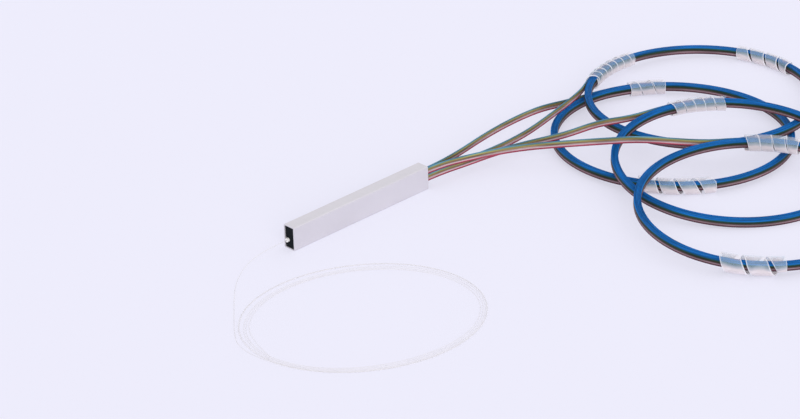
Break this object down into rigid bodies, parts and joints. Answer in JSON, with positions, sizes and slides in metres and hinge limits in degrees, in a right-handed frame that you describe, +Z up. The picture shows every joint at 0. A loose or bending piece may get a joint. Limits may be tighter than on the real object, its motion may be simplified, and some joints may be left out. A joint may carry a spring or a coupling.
{
  "type": "plc fibre splitter",
  "caption": "Bare-fibre optical splitter: a small rectangular metal tube with one fine input fibre and a stack of flat fibre ribbons, each wound into a coil held by spiral wraps.",
  "frame": {"origin": "middle of the tube's underside, on the surface it stands on", "axes": "+X along the tube towards the ribbons, +Y towards the back broad side, +Z up from the narrow side it stands on"},
  "size_m": [0.2207, 0.1265, 0.0109],
  "materials": {
    "satin_metal": "satin",
    "black_resin": "matte",
    "white_sleeve": "satin",
    "chip_glass": "polished",
    "array_glass": "ground",
    "clear_adhesive": "clear",
    "silicone": "matte",
    "bare_glass": "clear",
    "clear_fibre": "clear",
    "fibre_ribbon": "gloss, eight fibre colours",
    "milky_wrap": "translucent"
  },
  "bodies": {
    "root": {"housing_tube": "satin_metal", "input_plug": "black_resin", "output_plug": "black_resin", "input_sleeve": "white_sleeve", "splitter_chip": "chip_glass", "chip_input_cover": "array_glass", "chip_output_cover": "array_glass", "input_array_block": "array_glass", "input_array_lid": "array_glass", "output_array_block": "array_glass", "output_array_lid": "array_glass", "input_joint": "clear_adhesive", "output_joint": "clear_adhesive", "input_fibre_bond": "clear_adhesive", "ribbon_bond": "clear_adhesive", "silicone_bed": "silicone", "input_fibre_tail": "clear_fibre", "fibre_fan": "bare_glass", "ribbon_1_inner_end": "fibre_ribbon", "ribbon_1_lead": "fibre_ribbon", "ribbon_1_coil": "fibre_ribbon", "coil_1_wrap_a": "milky_wrap", "coil_1_wrap_b": "milky_wrap", "ribbon_2_inner_end": "fibre_ribbon", "ribbon_2_lead": "fibre_ribbon", "ribbon_2_coil": "fibre_ribbon", "coil_2_wrap_a": "milky_wrap", "coil_2_wrap_b": "milky_wrap", "ribbon_3_inner_end": "fibre_ribbon", "ribbon_3_lead": "fibre_ribbon", "ribbon_3_coil": "fibre_ribbon", "coil_3_wrap_a": "milky_wrap", "coil_3_wrap_b": "milky_wrap", "ribbon_4_inner_end": "fibre_ribbon", "ribbon_4_lead": "fibre_ribbon", "ribbon_4_coil": "fibre_ribbon", "coil_4_wrap_a": "milky_wrap", "coil_4_wrap_b": "milky_wrap", "input_fibre_lead": "clear_fibre", "input_fibre_loop": "clear_fibre"}
  },
  "joints": []
}
